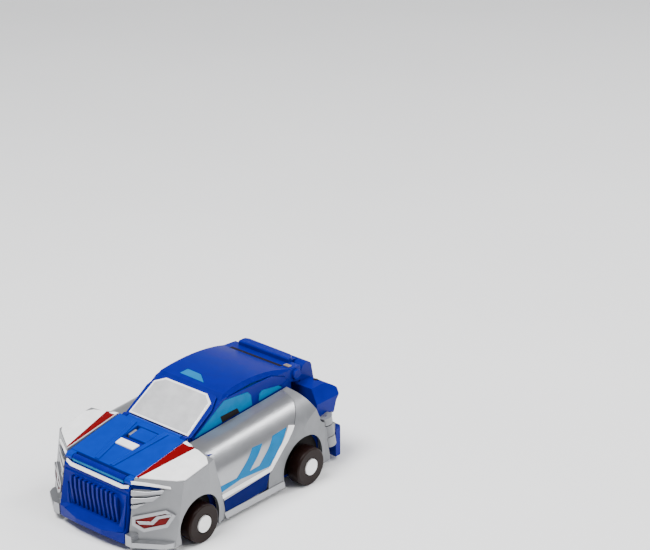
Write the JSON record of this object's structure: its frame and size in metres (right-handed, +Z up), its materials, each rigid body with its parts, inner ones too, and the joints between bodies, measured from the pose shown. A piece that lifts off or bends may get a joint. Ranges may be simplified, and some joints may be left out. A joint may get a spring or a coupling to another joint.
{
  "type": "transforming robot car",
  "caption": "Small collectible car whose roof lifts into a long neck, whose sides swing out as wings and whose legs, head, jaw and horns unfold, on free-rolling wheels.",
  "frame": {"origin": "centre of the bounding box in plan, on the floor the tyres stand on", "axes": "+Z up, front of the car toward -Y, its left side toward +X"},
  "size_m": [0.062, 0.0984, 0.04],
  "materials": {
    "axle_pin_front": "moulded toy finish",
    "axle_pin_rear": "moulded toy finish",
    "base_plate": "moulded toy finish",
    "bonnet": "moulded toy finish",
    "bonnet_pin": "plain metal",
    "bonnet_vent": "moulded toy finish",
    "core_drum": "moulded toy finish",
    "door": "moulded toy finish",
    "fender": "moulded toy finish",
    "foot": "moulded toy finish",
    "grille": "moulded toy finish",
    "grille_pin": "plain metal",
    "grille_ribs": "moulded toy finish",
    "head_pin": "plain metal",
    "head_upper": "moulded toy finish",
    "headlamp_bezel": "moulded toy finish",
    "headlamp_lens": "moulded toy finish",
    "hinge_blocks": "moulded toy finish",
    "hip_pin": "plain metal",
    "horn": "moulded toy finish",
    "jaw": "moulded toy finish",
    "latch": "moulded toy finish",
    "leg_lower": "moulded toy finish",
    "leg_upper": "moulded toy finish",
    "magnets": "plain metal",
    "neck_belly": "moulded toy finish",
    "neck_hinge_pin": "plain metal",
    "neck_spring": "plain metal",
    "nose_corner": "moulded toy finish",
    "quarter": "moulded toy finish",
    "rear_bumper": "moulded toy finish",
    "rear_deck": "moulded toy finish",
    "release_button": "moulded toy finish",
    "roof": "moulded toy finish",
    "screws": "plain metal",
    "side_blade": "moulded toy finish",
    "side_glass": "moulded toy finish",
    "upper_teeth": "moulded toy finish",
    "wheel_front": "moulded toy finish",
    "wheel_rear": "moulded toy finish",
    "windscreen": "moulded toy finish",
    "wing_hinge_pins": "plain metal",
    "wing_liner": "moulded toy finish"
  },
  "bodies": {
    "chassis": {"core_drum": "core_drum", "base_plate": "base_plate", "rear_deck": "rear_deck", "rear_bumper": "rear_bumper", "magnets": "magnets", "hinge_blocks": "hinge_blocks", "wing_hinge_pins": "wing_hinge_pins", "neck_hinge_pin": "neck_hinge_pin", "neck_spring": "neck_spring", "hip_pin": "hip_pin", "screws": "screws"},
    "neck": {"roof": "roof", "windscreen": "windscreen", "side_glass_left": "side_glass", "side_glass_right": "side_glass", "neck_belly": "neck_belly", "bonnet_pin": "bonnet_pin", "head_pin": "head_pin"},
    "bonnet": {"bonnet": "bonnet", "bonnet_vent": "bonnet_vent", "grille_pin": "grille_pin"},
    "grille": {"grille": "grille", "grille_ribs": "grille_ribs"},
    "head": {"head_upper": "head_upper", "upper_teeth": "upper_teeth"},
    "jaw": {"jaw": "jaw"},
    "horn_left": {"horn_left": "horn"},
    "horn_right": {"horn_right": "horn"},
    "release_button": {"release_button": "release_button", "latch": "latch"},
    "wing_left": {"fender_left": "fender", "door_left": "door", "quarter_left": "quarter", "wing_liner_left": "wing_liner", "headlamp_bezel_left": "headlamp_bezel", "headlamp_lens_left": "headlamp_lens", "nose_corner_left": "nose_corner", "side_blade_left": "side_blade", "axle_pin_front_left": "axle_pin_front", "axle_pin_rear_left": "axle_pin_rear"},
    "wheel_front_left": {"wheel_front_left": "wheel_front"},
    "wheel_rear_left": {"wheel_rear_left": "wheel_rear"},
    "leg_upper_left": {"leg_upper_left": "leg_upper"},
    "leg_lower_left": {"leg_lower_left": "leg_lower"},
    "foot_left": {"foot_left": "foot"},
    "wing_right": {"fender_right": "fender", "door_right": "door", "quarter_right": "quarter", "wing_liner_right": "wing_liner", "headlamp_bezel_right": "headlamp_bezel", "headlamp_lens_right": "headlamp_lens", "nose_corner_right": "nose_corner", "side_blade_right": "side_blade", "axle_pin_front_right": "axle_pin_front", "axle_pin_rear_right": "axle_pin_rear"},
    "wheel_front_right": {"wheel_front_right": "wheel_front"},
    "wheel_rear_right": {"wheel_rear_right": "wheel_rear"},
    "leg_upper_right": {"leg_upper_right": "leg_upper"},
    "leg_lower_right": {"leg_lower_right": "leg_lower"},
    "foot_right": {"foot_right": "foot"}
  },
  "joints": [
    {"name": "neck_lift", "type": "hinge", "parent": "chassis", "child": "neck", "pos_m": [0, 0.0426, 0.0334], "axis": [-1, 0, 0], "range_deg": [0, 100]},
    {"name": "bonnet_fold", "type": "hinge", "parent": "neck", "child": "bonnet", "pos_m": [0, -0.0172, 0.0282], "axis": [-1, 0, 0], "range_deg": [0, 100]},
    {"name": "grille_fold", "type": "hinge", "parent": "bonnet", "child": "grille", "pos_m": [0, -0.0427, 0.0233], "axis": [-1, 0, 0], "range_deg": [0, 90]},
    {"name": "head_fold", "type": "hinge", "parent": "neck", "child": "head", "pos_m": [0, -0.012, 0.0216], "axis": [1, 0, 0], "range_deg": [0, 90]},
    {"name": "jaw_open", "type": "hinge", "parent": "head", "child": "jaw", "pos_m": [0, -0.0186, 0.0156], "axis": [1, 0, 0], "range_deg": [0, 25]},
    {"name": "horn_spread_left", "type": "hinge", "parent": "head", "child": "horn_left", "pos_m": [0.0084, -0.019, 0.02], "axis": [0, 0, 1], "range_deg": [0, 125]},
    {"name": "horn_spread_right", "type": "hinge", "parent": "head", "child": "horn_right", "pos_m": [-0.0084, -0.019, 0.02], "axis": [0, 0, -1], "range_deg": [0, 125]},
    {"name": "wing_swing_left", "type": "hinge", "parent": "chassis", "child": "wing_left", "pos_m": [0.025, 0.042, 0.012], "axis": [0, -0.2079, 0.9781], "range_deg": [0, 125]},
    {"name": "wheel_spin_front_left", "type": "hinge", "parent": "wing_left", "child": "wheel_front_left", "pos_m": [0.0281, -0.0261, 0.0068], "axis": [1, 0, 0], "continuous": true},
    {"name": "wheel_spin_rear_left", "type": "hinge", "parent": "wing_left", "child": "wheel_rear_left", "pos_m": [0.0281, 0.0267, 0.0068], "axis": [1, 0, 0], "continuous": true},
    {"name": "hip_left", "type": "hinge", "parent": "chassis", "child": "leg_upper_left", "pos_m": [0.0175, 0.028, 0.012], "axis": [1, 0, 0], "range_deg": [0, 90]},
    {"name": "leg_extend_left", "type": "slide", "parent": "leg_upper_left", "child": "leg_lower_left", "axis": [0, -1, 0], "range_m": [0, 0.008]},
    {"name": "ankle_left", "type": "hinge", "parent": "leg_lower_left", "child": "foot_left", "pos_m": [0.0175, -0.009, 0.0095], "axis": [1, 0, 0], "range_deg": [-5, 60]},
    {"name": "wing_swing_right", "type": "hinge", "parent": "chassis", "child": "wing_right", "pos_m": [-0.025, 0.042, 0.012], "axis": [0, 0.2079, -0.9781], "range_deg": [0, 125]},
    {"name": "wheel_spin_front_right", "type": "hinge", "parent": "wing_right", "child": "wheel_front_right", "pos_m": [-0.0281, -0.0261, 0.0068], "axis": [1, 0, 0], "continuous": true},
    {"name": "wheel_spin_rear_right", "type": "hinge", "parent": "wing_right", "child": "wheel_rear_right", "pos_m": [-0.0281, 0.0267, 0.0068], "axis": [1, 0, 0], "continuous": true},
    {"name": "hip_right", "type": "hinge", "parent": "chassis", "child": "leg_upper_right", "pos_m": [-0.0175, 0.028, 0.012], "axis": [1, 0, 0], "range_deg": [0, 90]},
    {"name": "leg_extend_right", "type": "slide", "parent": "leg_upper_right", "child": "leg_lower_right", "axis": [0, -1, 0], "range_m": [0, 0.008]},
    {"name": "ankle_right", "type": "hinge", "parent": "leg_lower_right", "child": "foot_right", "pos_m": [-0.0175, -0.009, 0.0095], "axis": [1, 0, 0], "range_deg": [-5, 60]},
    {"name": "release_press", "type": "slide", "parent": "chassis", "child": "release_button", "axis": [0, -1, 0], "range_m": [0, 0.002], "stiffness_N_per_m": 60, "springref_m": -0.001}
  ],
  "couplings": [
    {"joint": "horn_spread_right", "follows": "horn_spread_left", "ratio": 1}
  ]
}
